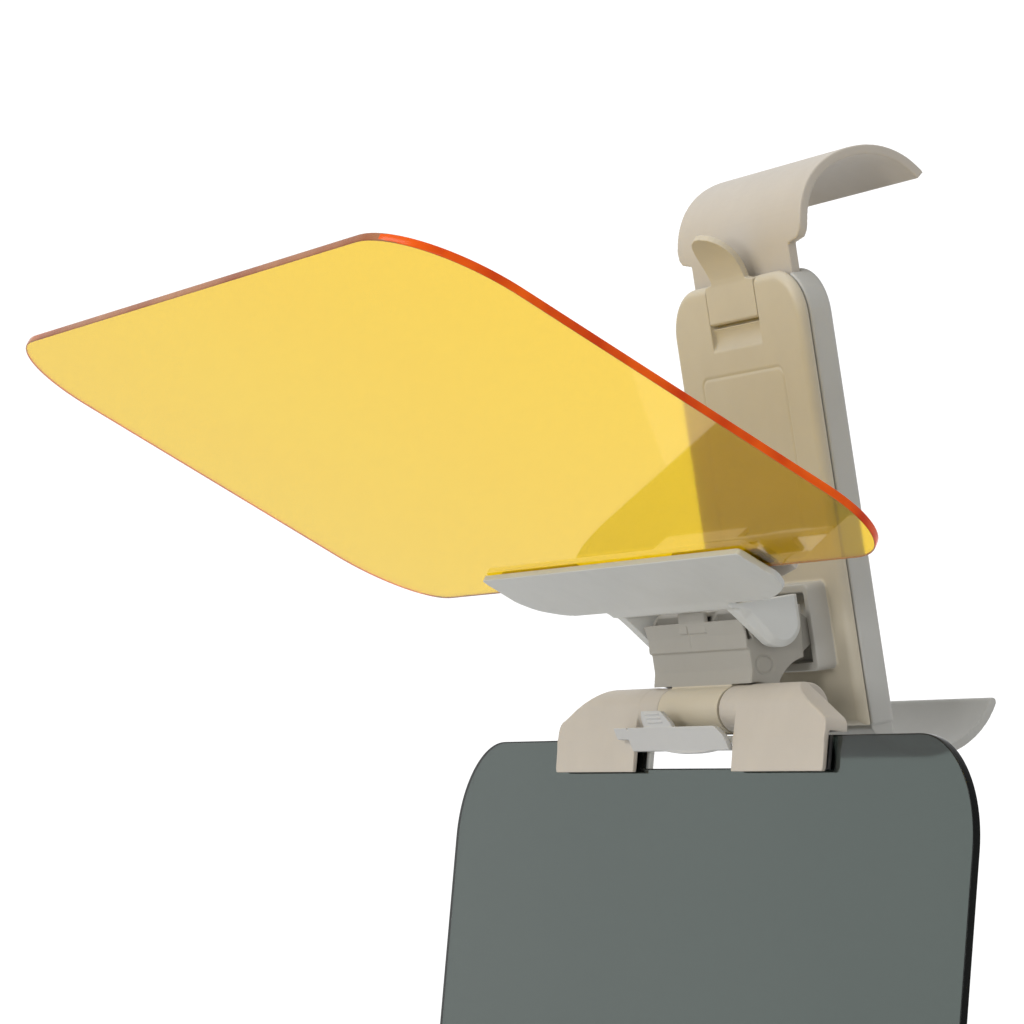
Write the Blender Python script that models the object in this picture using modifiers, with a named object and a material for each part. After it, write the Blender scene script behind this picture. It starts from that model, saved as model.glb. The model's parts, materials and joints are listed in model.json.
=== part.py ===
"""Clip-on day and night visor for a car's sun visor, modelled at rest.

A telescopic clip grips the car's own visor between two hooks.  An arm on the clip's
face carries two hinged lenses: an amber night lens, folded up, and a smoke-grey day
lens, hanging down.

World axes: +X to the driver's right, +Y towards the car visor, +Z up the clip.
The origin is the centre of the clip's flat back face.  Most pieces are laid out from
the clip's bottom edge, so they hang under the empty "clip_bottom".
Each lens holder is modelled hanging straight down about its own hinge axis and is
then turned to its rest angle.
"""

from math import cos, radians, sin, sqrt

import bmesh
import bpy
from mathutils import Matrix, Vector

MM = 0.001
GAP = 0.3 * MM

# ---- driving dimensions ------------------------------------------------------
CLIP_WIDTH = 76 * MM
CLIP_HEIGHT = 131 * MM
CLIP_CORNER = 14 * MM
CLIP_FRONT = -11 * MM          # Y of the front face; the back face is Y = 0
PARTING = -7.6 * MM            # Y of the joint between the two shells
WALL = 1.6 * MM

HOOK_WIDTH = 74 * MM
NECK_WIDTH = 58 * MM
NECK_FRONT = -6.2 * MM
HOOK_WALL = 2.8 * MM

LENS_WIDTH = 310 * MM
LENS_LENGTH = 158 * MM
LENS_THICK = 2.2 * MM
LENS_HINGE_CORNER = 30 * MM
LENS_FREE_CORNER = 33 * MM
LENS_NOTCH_WIDTH = 62 * MM
LENS_NOTCH_DEPTH = 8.8 * MM

JAW_HALF = 81 * MM             # half width of both lens jaws
JAW_GAP_HALF = 29.9 * MM       # half width of the opening between a jaw's lobes

# Hinge axes as (Y, height above the clip's bottom edge); all run along X.
NIGHT_AXIS = Vector((0, -32.0 * MM, 32.5 * MM))
DAY_AXIS = Vector((0, -38.5 * MM, 9.5 * MM))
TILT_AXIS = Vector((0, -15.8 * MM, 28.8 * MM))
LEVER_AXIS = Vector((0, -9.9 * MM, 120.2 * MM))

NIGHT_ANGLE = radians(127.5)   # lens swung forward and up from hanging
DAY_ANGLE = radians(15)

ARM_HALF = 29.5 * MM
PIN_RADIUS = 2.0 * MM
TILT_PIN_RADIUS = 1.2 * MM
LEVER_PIN_RADIUS = 0.7 * MM
NIGHT_EAR_RADIUS = 6.7 * MM
DAY_BARREL_RADIUS = 7 * MM
BARREL_HALF = 18 * MM          # half width of the arm's lower barrel
WASHER_RADIUS = 4.8 * MM
WASHER_THICK = 0.7 * MM
NIGHT_WASHER_X = 30.3 * MM
DAY_WASHER_X = BARREL_HALF + GAP + WASHER_THICK / 2

BEIGE = (0.58, 0.52, 0.44, 1)
WARM_GREY = (0.50, 0.48, 0.45, 1)
LIGHT_GREY = (0.60, 0.60, 0.58, 1)
AMBER = (1.0, 0.72, 0.08, 1)
SMOKE = (0.12, 0.15, 0.13, 1)
STEEL = (0.62, 0.62, 0.64, 1)
RUBBER = (0.02, 0.02, 0.02, 1)


# ---- scene and materials -----------------------------------------------------
def clear_scene():
    for old in list(bpy.data.objects):
        bpy.data.objects.remove(old, do_unlink=True)


def new_collection(name):
    collection = bpy.data.collections.new(name)
    bpy.context.scene.collection.children.link(collection)
    return collection


def material(name, colour, roughness, metallic=0.0, transmission=0.0):
    made = bpy.data.materials.new(name)
    made.use_nodes = True
    shader = made.node_tree.nodes["Principled BSDF"]
    shader.inputs["Base Color"].default_value = colour
    shader.inputs["Roughness"].default_value = roughness
    shader.inputs["Metallic"].default_value = metallic
    shader.inputs["Transmission Weight"].default_value = transmission
    return made


clear_scene()
PARTS = new_collection("clip_on_day_night_visor")
CUTTERS = new_collection("cutters")

CLIP_BOTTOM = bpy.data.objects.new("clip_bottom", None)
CLIP_BOTTOM.location.z = -CLIP_HEIGHT / 2
PARTS.objects.link(CLIP_BOTTOM)


# ---- outlines: lists of 2D points ----------------------------------------------
def arc(centre, radius, start_deg, end_deg, steps, radius_v=None):
    """Points on a circle, or on an ellipse when radius_v is given."""
    radius_v = radius if radius_v is None else radius_v
    turn = radians(end_deg - start_deg) / steps
    angles = [radians(start_deg) + turn * i for i in range(steps + 1)]
    return [(centre[0] + radius * cos(a), centre[1] + radius_v * sin(a)) for a in angles]


def rounded_box(left, right, low, high, bottom_radius, top_radius, steps=6):
    """A rectangle with its own radius at the bottom pair and the top pair of corners."""
    points = []
    corners = [
        (left, low, 1, 1, bottom_radius, 180),
        (right, low, -1, 1, bottom_radius, 270),
        (right, high, -1, -1, top_radius, 0),
        (left, high, 1, -1, top_radius, 90),
    ]
    for u, v, to_u, to_v, radius, start in corners:
        if radius:
            points += arc((u + to_u * radius, v + to_v * radius), radius, start, start + 90, steps)
        else:
            points.append((u, v))
    return points


def turned(points, angle):
    """The points turned about the origin, the way a positive hinge angle lifts a lens."""
    return [(u * cos(angle) + v * sin(angle), v * cos(angle) - u * sin(angle)) for u, v in points]


# ---- solids ----------------------------------------------------------------------
# Where the outline's first and second coordinate and the extrusion go.
ALONG_X = Matrix(((0, 0, 1), (1, 0, 0), (0, 1, 0))).to_4x4()     # outline in (Y, Z)
ALONG_Y = Matrix(((1, 0, 0), (0, 0, -1), (0, 1, 0))).to_4x4()    # outline in (X, Z)


def add(name, mesh, finish=None, parent=None):
    """Links a part when it has a finish, or a cutter when it has none."""
    made = bpy.data.objects.new(name, mesh)
    made.parent = CLIP_BOTTOM if parent is None else parent
    if finish is None:
        made.hide_render = True
        made.display_type = "WIRE"
        CUTTERS.objects.link(made)
    else:
        made.data.materials.append(finish)
        PARTS.objects.link(made)
    return made


def prism_mesh(name, outline, low, high, direction):
    """A flat outline, filled and extruded from low to high along the direction."""
    curve = bpy.data.curves.new(name, "CURVE")
    curve.dimensions = "2D"
    curve.fill_mode = "BOTH"
    curve.extrude = (high - low) / 2
    spline = curve.splines.new("POLY")
    spline.points.add(len(outline) - 1)
    for point, (u, v) in zip(spline.points, outline):
        point.co = (u, v, 0, 1)
    spline.use_cyclic_u = True
    drawn = bpy.data.objects.new(name + "_outline", curve)
    bpy.context.scene.collection.objects.link(drawn)
    bpy.context.view_layer.update()
    mesh = bpy.data.meshes.new_from_object(drawn.evaluated_get(bpy.context.evaluated_depsgraph_get()))
    bpy.data.objects.remove(drawn)
    bpy.data.curves.remove(curve)
    mesh.transform(direction @ Matrix.Translation((0, 0, (high + low) / 2)))
    mesh.name = name
    mesh.materials.clear()
    weld_and_face_out(mesh)
    return mesh


def weld_and_face_out(mesh):
    work = bmesh.new()
    work.from_mesh(mesh)
    bmesh.ops.remove_doubles(work, verts=work.verts, dist=0.00001)
    bmesh.ops.recalc_face_normals(work, faces=work.faces)
    work.to_mesh(mesh)
    work.free()


def prism_x(name, outline, half, finish=None, parent=None, centre=0.0):
    mesh = prism_mesh(name, outline, centre - half, centre + half, ALONG_X)
    return add(name, mesh, finish, parent)


def prism_y(name, outline, front, back, finish=None, parent=None):
    """An (X, Z) outline from Y = front, nearest the driver, to Y = back."""
    mesh = prism_mesh(name, outline, -back, -front, ALONG_Y)
    return add(name, mesh, finish, parent)


def box(name, low, high, finish=None, parent=None):
    mesh = bpy.data.meshes.new(name)
    work = bmesh.new()
    bmesh.ops.create_cube(work, size=1)
    size = Vector(high) - Vector(low)
    bmesh.ops.scale(work, vec=size, verts=work.verts)
    bmesh.ops.translate(work, vec=(Vector(high) + Vector(low)) / 2, verts=work.verts)
    work.to_mesh(mesh)
    work.free()
    return add(name, mesh, finish, parent)


def rod(name, radius, start, end, finish=None, parent=None, sides=20):
    """A round bar between two points."""
    start, end = Vector(start), Vector(end)
    mesh = bpy.data.meshes.new(name)
    work = bmesh.new()
    turn = (end - start).to_track_quat("Z", "Y").to_matrix().to_4x4()
    place = Matrix.Translation((start + end) / 2) @ turn
    bmesh.ops.create_cone(work, cap_ends=True, segments=sides, radius1=radius, radius2=radius,
                          depth=(end - start).length, matrix=place)
    work.to_mesh(mesh)
    work.free()
    return add(name, mesh, finish, parent)


def boolean(body, tool, operation):
    modifier = body.modifiers.new(operation.lower(), "BOOLEAN")
    modifier.operation = operation
    modifier.solver = "EXACT"
    modifier.object = tool
    return body


def cut(body, *tools):
    for tool in tools:
        boolean(body, tool, "DIFFERENCE")
    return body


def join(body, *tools):
    for tool in tools:
        boolean(body, tool, "UNION")
    return body


def keep_inside(body, *tools):
    for tool in tools:
        boolean(body, tool, "INTERSECT")
    return body


def soften(body, width, segments=2, angle_deg=40):
    modifier = body.modifiers.new("bevel", "BEVEL")
    modifier.width = width
    modifier.segments = segments
    modifier.limit_method = "ANGLE"
    modifier.angle_limit = radians(angle_deg)
    return body


def put_origin(body, origin):
    """Moves the object's origin, leaving its shape where it is."""
    body.data.transform(Matrix.Translation(-Vector(origin)))
    body.location = body.location + Vector(origin)
    return body


def bent_sheet(name, stations, thickness, finish, columns=6):
    """A sheet bent along (Y, Z) stations, each with its own half width; it thickens inwards."""
    mesh = bpy.data.meshes.new(name)
    work = bmesh.new()
    rows = []
    for y, z, half in stations:
        across = [half * (2 * i / columns - 1) for i in range(columns + 1)]
        rows.append([work.verts.new((x, y, z)) for x in across])
    for low, high in zip(rows, rows[1:]):
        for i in range(columns):
            work.faces.new((low[i], low[i + 1], high[i + 1], high[i]))
    work.to_mesh(mesh)
    work.free()
    made = add(name, mesh, finish)
    solid = made.modifiers.new("wall", "SOLIDIFY")
    solid.thickness = thickness
    solid.offset = -1
    return made


# ---- clip body -------------------------------------------------------------------
SOCKET_HALF = 30 * MM
SOCKET_LOW = 17 * MM
SOCKET_HIGH = 42 * MM
SOCKET_FRONT = -17.5 * MM
LEVER_HALF = 14.2 * MM
LEVER_LOW = 119 * MM
RECESS_LOW = 112 * MM
RECESS_DEPTH = 2.6 * MM
POST_X = 33 * MM
POST_HEIGHTS = (9 * MM, 108 * MM)
POST_RADIUS = 2.6 * MM
SCREW_RADIUS = 1.2 * MM


def clip_outline(inset=0.0):
    half = CLIP_WIDTH / 2 - inset
    return rounded_box(-half, half, inset, CLIP_HEIGHT - inset, 0, CLIP_CORNER - inset, 8)


def post_places():
    return [(side * POST_X, height) for height in POST_HEIGHTS for side in (-1, 1)]


def make_front_shell(finish):
    """The driver's side: a thick plate with the lever recess and the arm's socket."""
    shell = prism_y("front_shell", clip_outline(), CLIP_FRONT, PARTING - GAP / 2, finish)
    soften(shell, 2.4 * MM, 3, 60)
    socket_outline = rounded_box(-SOCKET_HALF, SOCKET_HALF, SOCKET_LOW, SOCKET_HIGH, 2 * MM, 2 * MM, 3)
    join(shell, prism_y("socket_block", socket_outline, SOCKET_FRONT, CLIP_FRONT + 1 * MM))
    inner = 2.6 * MM
    cut(shell, box("socket_hollow",
                   (-SOCKET_HALF + inner, SOCKET_FRONT - 5 * MM, SOCKET_LOW + inner),
                   (SOCKET_HALF - inner, CLIP_FRONT - 1.7 * MM, SOCKET_HIGH - inner)))
    cut(shell, rod("tilt_pin_bore", TILT_PIN_RADIUS + GAP,
                   TILT_AXIS - Vector((28.9 * MM, 0, 0)), TILT_AXIS + Vector((28.9 * MM, 0, 0))))
    clear = LEVER_HALF + 0.4 * MM
    cut(shell, box("lever_recess", (-clear, CLIP_FRONT - 5 * MM, RECESS_LOW),
                   (clear, CLIP_FRONT + RECESS_DEPTH, CLIP_HEIGHT + 5 * MM)))
    cut(shell, box("toe_slot", (-6 * MM, CLIP_FRONT, 121.8 * MM), (6 * MM, -6 * MM, 129 * MM)))
    pin_reach = Vector((clear + 2.6 * MM, 0, 0))
    cut(shell, rod("lever_pin_bore", LEVER_PIN_RADIUS + 0.2 * MM,
                   LEVER_AXIS - pin_reach, LEVER_AXIS + pin_reach, sides=12))
    for i, (x, height) in enumerate(post_places()):
        join(shell, rod(f"post_{i}", POST_RADIUS, (x, PARTING - 1.5 * MM, height),
                        (x, -WALL - GAP, height)))
        cut(shell, rod(f"post_bore_{i}", SCREW_RADIUS + GAP, (x, PARTING - 0.9 * MM, height),
                       (x, 5 * MM, height), sides=12))
    cut(shell, frame_groove())
    return shell


def frame_groove():
    """A shallow rounded rectangle engraved on the clip's face."""
    low, high, half, line, depth = 50 * MM, 104.5 * MM, 24.5 * MM, 0.7 * MM, 0.35 * MM
    outer = rounded_box(-half, half, low, high, 3.5 * MM, 3.5 * MM, 4)
    inner = rounded_box(-half + line, half - line, low + line, high - line, 2.8 * MM, 2.8 * MM, 4)
    groove = prism_y("frame_groove", outer, CLIP_FRONT - 1 * MM, CLIP_FRONT + depth)
    cut(groove, prism_y("frame_island", inner, CLIP_FRONT - 2 * MM, CLIP_FRONT + 2 * depth))
    return groove


LOWER_HOOK_CENTRE = (13.6 * MM, 12.5 * MM)
LOWER_HOOK_RADIUS = 25 * MM
LOWER_HOOK_WALL = 2.6 * MM


def lower_hook_outline():
    """The curved lip under the clip that holds the bottom edge of the car's visor."""
    outer = arc(LOWER_HOOK_CENTRE, LOWER_HOOK_RADIUS, 213, 328, 20)
    middle = LOWER_HOOK_RADIUS - LOWER_HOOK_WALL / 2
    tip = (LOWER_HOOK_CENTRE[0] + middle * cos(radians(328)),
           LOWER_HOOK_CENTRE[1] + middle * sin(radians(328)))
    end = arc(tip, LOWER_HOOK_WALL / 2, 328 + 30, 328 + 150, 4)
    inner = arc(LOWER_HOOK_CENTRE, LOWER_HOOK_RADIUS - LOWER_HOOK_WALL, 328, 232, 18)
    top = 0.9 * MM
    return outer + end + inner + [(-0.3 * MM, top), (PARTING + 0.6 * MM, top)]


def make_rear_shell(finish):
    """The tray against the car's visor, with the fixed lower hook."""
    shell = prism_y("rear_shell", clip_outline(), PARTING + GAP / 2, 0, finish)
    soften(shell, 0.6 * MM, 2, 60)
    cut(shell, prism_y("rear_hollow", clip_outline(2 * MM), PARTING - 5 * MM, -WALL))
    join(shell, prism_x("lower_hook", lower_hook_outline(), HOOK_WIDTH / 2))
    slot_half = NECK_WIDTH / 2 + GAP
    cut(shell, box("neck_slot", (-slot_half, PARTING - 1 * MM, CLIP_HEIGHT - 20 * MM),
                   (slot_half, NECK_FRONT + HOOK_WALL + GAP, CLIP_HEIGHT + 5 * MM)))
    for i, (x, height) in enumerate(post_places()):
        cut(shell, rod(f"head_hole_{i}", 1.5 * MM, (x, -5 * MM, height), (x, 5 * MM, height), sides=12))
        cut(shell, rod(f"head_seat_{i}", 2.9 * MM, (x, -0.8 * MM, height), (x, 5 * MM, height), sides=16))
    return shell


def make_shell_screws(finish):
    for i, (x, height) in enumerate(post_places()):
        screw = rod(f"shell_screw_{i + 1}", SCREW_RADIUS, (x, PARTING - 0.5 * MM, height),
                    (x, -0.3 * MM, height), finish, sides=12)
        join(screw, rod(f"screw_head_{i}", 2.5 * MM, (x, -0.5 * MM, height), (x, -0.05 * MM, height),
                        sides=16))


# ---- sliding hook and its lock -------------------------------------------------------
SHOULDER = 138 * MM
ARCH_RADIUS = 24 * MM
HOOK_CORNER = 6 * MM
SLIDER_LOW = 72 * MM


def upper_hook_stations():
    """(Y, height, half width) up the neck, round the shoulders and over the arch."""
    neck, wide = NECK_WIDTH / 2, HOOK_WIDTH / 2
    stations = [(NECK_FRONT, SLIDER_LOW, neck), (NECK_FRONT, 105 * MM, neck), (NECK_FRONT, SHOULDER, neck)]
    centre = (NECK_FRONT + ARCH_RADIUS, SHOULDER + 1 * MM)
    angles = [180, 177.5, 174, 170] + [166 - 10 * i for i in range(14)]
    for angle in angles:
        y, height = arc(centre, ARCH_RADIUS, angle, angle, 1)[0]
        low = min(1.0, (height - SHOULDER) / HOOK_CORNER)
        stations.append((y, height, wide - HOOK_CORNER * (1 - sqrt(1 - (1 - low) ** 2))))
    return stations


def make_upper_hook(finish):
    """One sheet: the slider inside the clip, the neck and the arched hook."""
    return bent_sheet("upper_hook", upper_hook_stations(), HOOK_WALL, finish)


TAB_HALF = 10 * MM
TAB_LEAN = radians(24)


def lever_stations():
    """(Y, height, half width) up the lever's plate and out along its thumb tab."""
    plate = [(CLIP_FRONT, LEVER_LOW + 0.6 * MM, LEVER_HALF), (CLIP_FRONT, 126 * MM, LEVER_HALF),
             (CLIP_FRONT, CLIP_HEIGHT - 0.6 * MM, LEVER_HALF)]
    tab = [(CLIP_FRONT - 0.1 * MM, CLIP_HEIGHT, TAB_HALF)]
    reach = 15.5 * MM
    for share in (0.2, 0.36, 0.56, 0.74, 0.88, 0.96, 0.995):
        along = reach * share
        rounding = max(0.0, (along - (reach - TAB_HALF)) / TAB_HALF)
        half = TAB_HALF * sqrt(max(0.02, 1 - rounding * rounding))
        lean = TAB_LEAN * (0.6 + 0.8 * share)
        tab.append((CLIP_FRONT - along * sin(lean), CLIP_HEIGHT + along * cos(lean), half))
    return plate + tab


def make_lock_lever(finish):
    lever = bent_sheet("lock_lever", lever_stations(), 1.7 * MM, finish)
    reach = Vector((LEVER_HALF, 0, 0))
    join(lever, rod("lever_barrel", 1.15 * MM, LEVER_AXIS - reach, LEVER_AXIS + reach, sides=16))
    join(lever, box("lever_toe", (-5.4 * MM, -10 * MM, 122.6 * MM),
                    (5.4 * MM, NECK_FRONT - GAP, 126.6 * MM)))
    cut(lever, rod("lever_bore", LEVER_PIN_RADIUS + 0.15 * MM,
                   LEVER_AXIS - 2 * reach, LEVER_AXIS + 2 * reach, sides=12))
    return put_origin(lever, LEVER_AXIS)


def make_lever_pin(finish):
    reach = Vector((LEVER_HALF + 2.6 * MM, 0, 0))
    return rod("lever_pin", LEVER_PIN_RADIUS, LEVER_AXIS - reach, LEVER_AXIS + reach, finish, sides=12)


# ---- arm -----------------------------------------------------------------------------
def arm_outline():
    """Side view of the arm's block, neck and upper barrel, as (Y, height)."""
    front = [(-38.2 * MM, 35.1 * MM), (-39.8 * MM, 35.1 * MM), (-38.9 * MM, 30.5 * MM),
             (-39.2 * MM, 26.8 * MM), (-38.1 * MM, 26 * MM), (-38.5 * MM, 21 * MM),
             (-39.4 * MM, 16.9 * MM), (-39.4 * MM, 12 * MM)]
    under = [(-31.7 * MM, 12 * MM)] + arc((-20 * MM, 10 * MM), 11.7 * MM, 170, 96, 6)
    root = [(-20 * MM, 36.6 * MM)]
    barrel = arc(NIGHT_AXIS.yz, 5.6 * MM, 65, 215, 9)
    pocket = [(-38.2 * MM, 29.2 * MM)]
    return front + under + root + barrel + pocket


def make_arm_bracket(finish):
    """The tilting arm that carries both lens hinges."""
    arm = prism_x("arm_bracket", arm_outline(), ARM_HALF, finish)
    root_half = SOCKET_HALF - 3.1 * MM
    neck = [(-22 * MM, 21.8 * MM), (-15.8 * MM, 25.4 * MM)]
    neck += arc(TILT_AXIS.yz, 2.6 * MM, -90, 90, 8) + [(-22 * MM, 36.4 * MM)]
    join(arm, prism_x("arm_root", neck, root_half))
    join(arm, prism_x("arm_tongue", [(-39.6 * MM, 33 * MM), (-38.4 * MM, 33 * MM), (-38.2 * MM, 38.2 * MM),
                                     (-39.6 * MM, 38.2 * MM)], 7.8 * MM))
    clear = DAY_BARREL_RADIUS + 0.5 * MM
    for side in (-1, 1):
        cut(arm, rod(f"day_knuckle_room_{side}", clear, DAY_AXIS + Vector((side * 40 * MM, 0, 0)),
                     DAY_AXIS + Vector((side * BARREL_HALF, 0, 0)), sides=32))
    join(arm, rod("arm_day_barrel", DAY_BARREL_RADIUS, DAY_AXIS - Vector((BARREL_HALF, 0, 0)),
                  DAY_AXIS + Vector((BARREL_HALF, 0, 0)), sides=32))
    long = Vector((60 * MM, 0, 0))
    cut(arm, rod("day_bore", PIN_RADIUS + GAP, DAY_AXIS - long, DAY_AXIS + long),
        rod("night_bore", PIN_RADIUS + GAP, NIGHT_AXIS - long, NIGHT_AXIS + long),
        rod("tilt_bore", TILT_PIN_RADIUS + GAP, TILT_AXIS - long, TILT_AXIS + long, sides=16))
    return put_origin(arm, TILT_AXIS)


def make_pins(finish):
    across = Vector((1, 0, 0))
    rod("tilt_pin", TILT_PIN_RADIUS, TILT_AXIS - 28.6 * MM * across, TILT_AXIS + 28.6 * MM * across, finish,
        sides=16)
    rod("night_hinge_pin", PIN_RADIUS, NIGHT_AXIS - 36 * MM * across, NIGHT_AXIS + 36 * MM * across, finish)
    rod("day_hinge_pin", PIN_RADIUS, DAY_AXIS - 36 * MM * across, DAY_AXIS + 36 * MM * across, finish)


def make_washer(name, axis, x, finish):
    """A friction washer around a hinge pin."""
    half = Vector((WASHER_THICK / 2, 0, 0))
    middle = axis + Vector((x, 0, 0))
    washer = rod(name, WASHER_RADIUS, middle - half, middle + half, finish)
    cut(washer, rod(name + "_hole", PIN_RADIUS + GAP, middle - 9 * half, middle + 9 * half))
    return washer


# ---- lens holders, modelled hanging below the hinge axis ------------------------------------
NIGHT_LENS_TOP = -29.3 * MM
NIGHT_LENS_BACK = 0.6 * MM     # Y of the face away from the driver
NIGHT_PLATE_TOP = -16.9 * MM
NIGHT_PLATE_FOOT = -40.3 * MM
NIGHT_FRONT_FOOT = -35.5 * MM
EAR_INNER = 31.2 * MM
EAR_OUTER = 37.2 * MM
EAR_TOP = 7.4 * MM             # the ears' flat top above the hinge axis, at rest

DAY_LENS_TOP = -8.2 * MM
DAY_LENS_BACK = -2.4 * MM
DAY_FOOT = -18.2 * MM
DAY_BACK_TOP = -7.6 * MM
WRAP_HALF = 57 * MM            # the front jaw is wrapped over its hinge out to here
WRAP_RADIUS = 7.2 * MM
WING_SHOULDER = -4.6 * MM      # where the slope from the wrap meets the jaw's upright end
BRIDGE_HALF = 34 * MM
BRIDGE_FOOT = -9.6 * MM
FAR = 90 * MM                  # beyond every lens holder

CATCH_HALF = 29.2 * MM
TAB_WIDTH = 17 * MM
TAB_CENTRE = -8 * MM
LOBE_THICK = 1.7 * MM
PAD_THICK = 0.7 * MM


def hinge_frame(name, axis, angle):
    """An empty on a hinge axis, turned to the rest angle; a holder's pieces hang under it."""
    frame = bpy.data.objects.new(name, None)
    frame.parent = CLIP_BOTTOM
    frame.location = axis
    frame.rotation_euler.x = -angle
    PARTS.objects.link(frame)
    return frame


def lens_outline(top):
    """An (X, Z) rounded rectangle that hangs from Z = top, with a notch in its top edge."""
    half, notch = LENS_WIDTH / 2, LENS_NOTCH_WIDTH / 2
    foot = top - LENS_NOTCH_DEPTH
    free_corner = arc((half - LENS_FREE_CORNER, top - LENS_LENGTH + LENS_FREE_CORNER), LENS_FREE_CORNER,
                      270, 360, 10)
    hinge_corner = arc((half - LENS_HINGE_CORNER, top - LENS_HINGE_CORNER), LENS_HINGE_CORNER, 0, 90, 10)
    return mirrored(free_corner + hinge_corner + [(notch, top), (notch, foot)])


def mirrored(right_side):
    """A closed outline from its right-hand side, listed anticlockwise."""
    return right_side + [(-u, v) for u, v in reversed(right_side)]


def make_lens(name, frame, top, back, finish):
    """A flat acrylic lens; it thickens from its back face towards the driver."""
    return prism_y(name, lens_outline(top), back - LENS_THICK, back, finish, frame)


def jaw_edge(top, shoulder, foot):
    """The right-hand edge of a jaw, from its foot up, as (X, Z)."""
    chamfer = 1.2 * MM
    return [(JAW_HALF - chamfer, foot), (JAW_HALF, foot + chamfer), (JAW_HALF, shoulder),
            (JAW_HALF - 3 * MM, shoulder + 6.5 * MM), (JAW_HALF - 15 * MM, top)]


def lobes_outline(top, shoulder, foot, gap_top):
    """Two lobes joined along the top, with an opening between them, as (X, Z)."""
    opening = [(JAW_GAP_HALF, gap_top), (JAW_GAP_HALF, foot)]
    return mirrored(opening + jaw_edge(top, shoulder, foot))


def make_pads(prefix, frame, low, high, back, finish):
    """The two rubber strips between a jaw's lobes and its lens."""
    for side, word in ((-1, "left"), (1, "right")):
        a, b = sorted((side * (JAW_GAP_HALF + 2 * MM), side * (JAW_HALF + 0.6 * MM)))
        box(f"{prefix}_pad_{word}", (a, back - PAD_THICK, low), (b, back, high), finish, frame)


def ear_outline():
    """A hinge ear: round below the axis at rest, flat on top, running out into the web."""
    round_end = arc((1.3 * MM, 0), NIGHT_EAR_RADIUS, 0, -130, 12)
    run_out = [(-9.6 * MM, 2.6 * MM), (-13 * MM, 6.4 * MM), (-12.4 * MM, EAR_TOP)]
    return turned(round_end + run_out + [(1.3 * MM + NIGHT_EAR_RADIUS, EAR_TOP)], -NIGHT_ANGLE)


def web_outline():
    """The web between plate and ears, at rest: it bends from the plate to the ears' flat tops."""
    under = [(-11.4 * MM, 5.9 * MM), (-13.4 * MM, 6.3 * MM), (-16.9 * MM, 9.4 * MM)]
    over = [(-15.6 * MM, 10.7 * MM), (-12.6 * MM, 8 * MM), (-11.4 * MM, EAR_TOP)]
    return turned(under + over, -NIGHT_ANGLE)


def make_night_back_jaw(frame, finish):
    """The light plate behind the night lens, with the two hinge ears."""
    front = NIGHT_LENS_BACK + GAP
    wide = mirrored([(80 * MM, NIGHT_PLATE_FOOT), (80 * MM, -27 * MM), (76 * MM, -22 * MM),
                     (63 * MM, NIGHT_PLATE_TOP)])
    plate = prism_y("night_back_jaw", wide, front, front + 2.0 * MM, finish, frame)
    middle, half = (EAR_INNER + EAR_OUTER) / 2, (EAR_OUTER - EAR_INNER) / 2
    join(plate, prism_x("night_web", web_outline(), EAR_OUTER - GAP, parent=frame))
    for side in (-1, 1):
        join(plate, prism_x(f"night_ear_{side}", ear_outline(), half, parent=frame, centre=side * middle))
    reach = Vector((EAR_OUTER - 0.7 * MM, 0, 0))
    return cut(plate, rod("night_ear_bore", PIN_RADIUS + GAP, -reach, reach, parent=frame))


def make_night_front_jaw(frame, finish):
    """The two-lobed jaw on the driver's side of the night lens."""
    back = NIGHT_LENS_BACK - LENS_THICK - PAD_THICK - 3 * GAP
    outline = lobes_outline(-18.5 * MM, -28 * MM, NIGHT_FRONT_FOOT, -27.6 * MM)
    jaw = prism_y("night_front_jaw", outline, back - LOBE_THICK, back, finish, frame)
    soften(jaw, 0.5 * MM, 1, 60)
    return join(jaw, box("night_rib", (-60 * MM, back - 0.5 * MM, -27.2 * MM),
                         (60 * MM, NIGHT_LENS_BACK, -20 * MM), parent=frame))


def day_jaw_side(front, back):
    """Side view of a front lobe as (Y, Z): a skirt in front, wrapped over the hinge."""
    barrel = arc((0, 0), WRAP_RADIUS, -14, 180, 14)
    skirt = [(front, -9 * MM), (front + 0.3 * MM, DAY_FOOT), (back, DAY_FOOT)]
    return barrel + skirt + [(back, -7.2 * MM), (3.2 * MM, -7.2 * MM)]


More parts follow.
